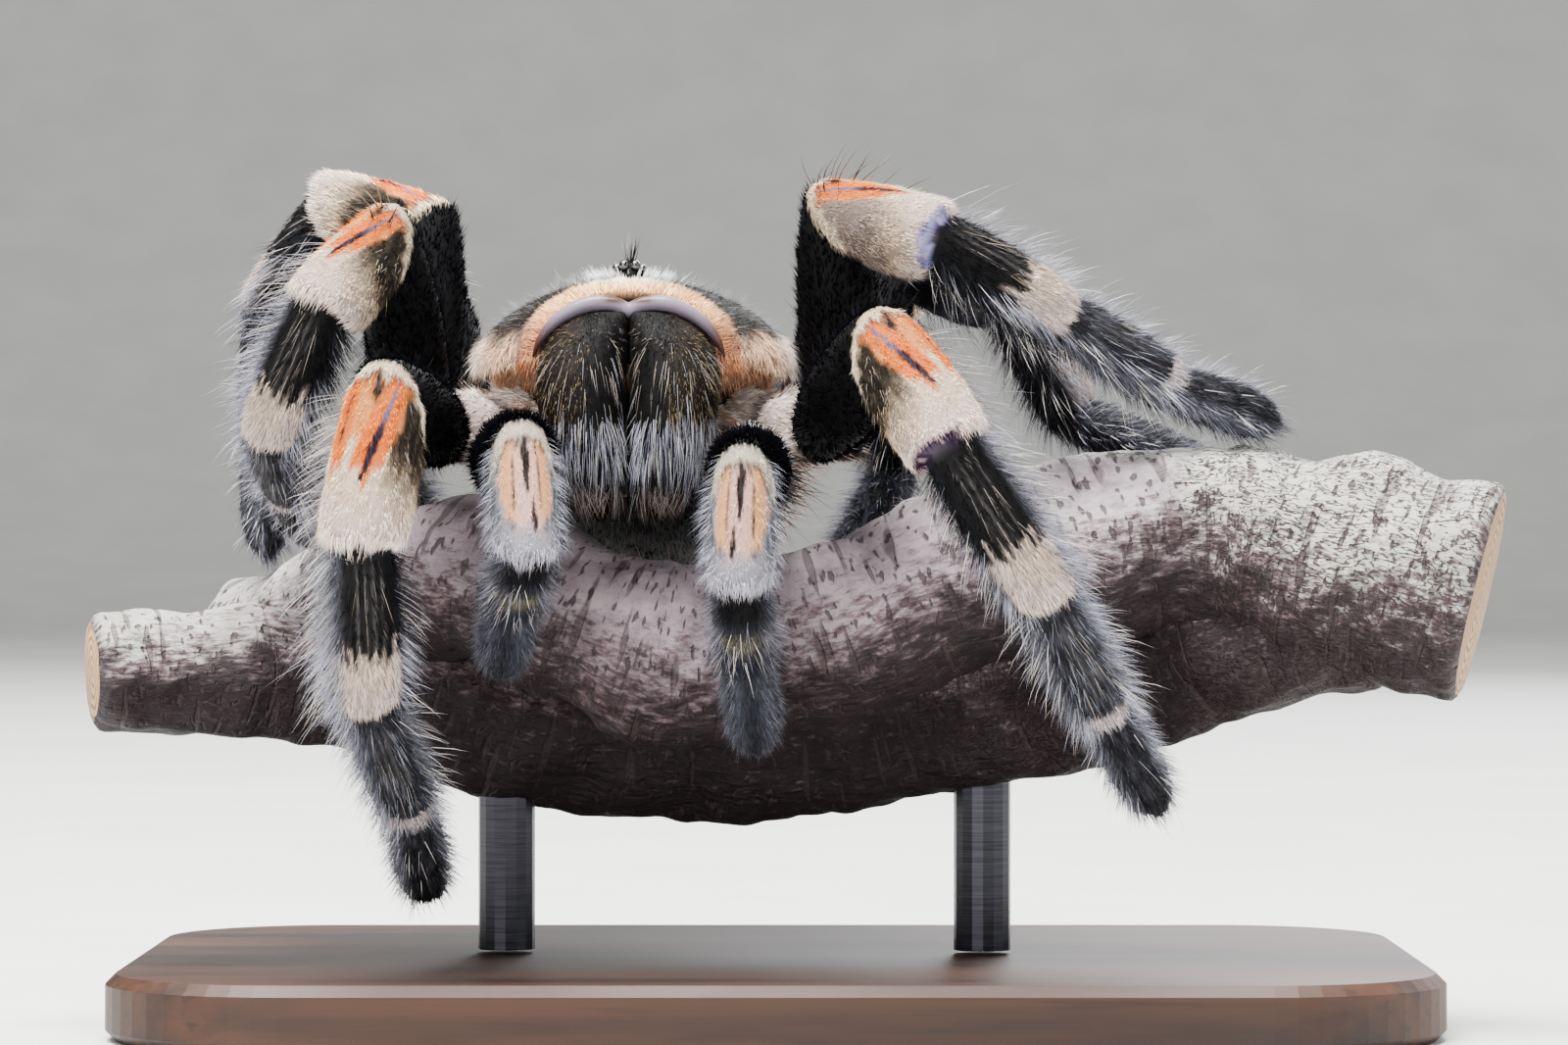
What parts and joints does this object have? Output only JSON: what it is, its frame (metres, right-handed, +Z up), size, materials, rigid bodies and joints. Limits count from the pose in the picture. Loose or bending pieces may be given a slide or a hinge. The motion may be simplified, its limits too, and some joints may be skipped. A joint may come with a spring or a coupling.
{
  "type": "redknee tarantula display model",
  "caption": "Life-size redknee tarantula, its legs draped over a cut length of vine that stands on rods above a flat wooden display base.",
  "frame": {"origin": "centre of the display base's underside, on the floor", "axes": "+Z up; the spider faces -Y; the spider's own left side is +X, and the vine runs along X"},
  "size_m": [0.1089, 0.0911, 0.0666],
  "materials": {
    "femur_velvet": "dense short black velvet hair, matt",
    "knee_hair": "orange and cream hair with dark flame streaks, matt",
    "shin_hair": "black hair with long pale bristles and a cream end band",
    "foot_hair": "dark blue-grey hair with a thin pale end ring",
    "carapace_hair": "dark short hair with a cream to peach margin",
    "coxa_hair": "peach and brown hair over soft skin",
    "eyes": "glossy near black beads",
    "abdomen_hair": "black velvet hair with long brown bristles",
    "jaw_hair": "dark brown hair, golden at the sides, with pale bristles",
    "fangs": "polished near black",
    "bark": "grey-mauve bark with dark dashes and cracks, matt",
    "stand_metal": "satin black",
    "stand_wood": "dark stained hardwood, satin"
  },
  "bodies": {
    "root": {"palp_left_femur": "femur_velvet", "palp_left_patella": "knee_hair", "palp_left_tibia": "shin_hair", "palp_left_tarsus": "foot_hair", "leg1_left_femur": "femur_velvet", "leg1_left_patella": "knee_hair", "leg1_left_tibia": "shin_hair", "leg1_left_metatarsus": "foot_hair", "leg1_left_tarsus": "foot_hair", "leg2_left_femur": "femur_velvet", "leg2_left_patella": "knee_hair", "leg2_left_tibia": "shin_hair", "leg2_left_metatarsus": "foot_hair", "leg2_left_tarsus": "foot_hair", "leg3_left_femur": "femur_velvet", "leg3_left_patella": "knee_hair", "leg3_left_tibia": "shin_hair", "leg3_left_metatarsus": "foot_hair", "leg3_left_tarsus": "foot_hair", "leg4_left_femur": "femur_velvet", "leg4_left_patella": "knee_hair", "leg4_left_tibia": "shin_hair", "leg4_left_metatarsus": "foot_hair", "leg4_left_tarsus": "foot_hair", "palp_right_femur": "femur_velvet", "palp_right_patella": "knee_hair", "palp_right_tibia": "shin_hair", "palp_right_tarsus": "foot_hair", "leg1_right_femur": "femur_velvet", "leg1_right_patella": "knee_hair", "leg1_right_tibia": "shin_hair", "leg1_right_metatarsus": "foot_hair", "leg1_right_tarsus": "foot_hair", "leg2_right_femur": "femur_velvet", "leg2_right_patella": "knee_hair", "leg2_right_tibia": "shin_hair", "leg2_right_metatarsus": "foot_hair", "leg2_right_tarsus": "foot_hair", "leg3_right_femur": "femur_velvet", "leg3_right_patella": "knee_hair", "leg3_right_tibia": "shin_hair", "leg3_right_metatarsus": "foot_hair", "leg3_right_tarsus": "foot_hair", "leg4_right_femur": "femur_velvet", "leg4_right_patella": "knee_hair", "leg4_right_tibia": "shin_hair", "leg4_right_metatarsus": "foot_hair", "leg4_right_tarsus": "foot_hair", "carapace": "carapace_hair", "sternum_and_coxae": "coxa_hair", "eye_tubercle": "eyes", "abdomen": "abdomen_hair", "chelicera_left": "jaw_hair", "fang_left": "fangs", "chelicera_right": "jaw_hair", "fang_right": "fangs", "perch_vine": "bark", "stand_rod_1": "stand_metal", "stand_rod_2": "stand_metal", "stand_base": "stand_wood"}
  },
  "joints": []
}
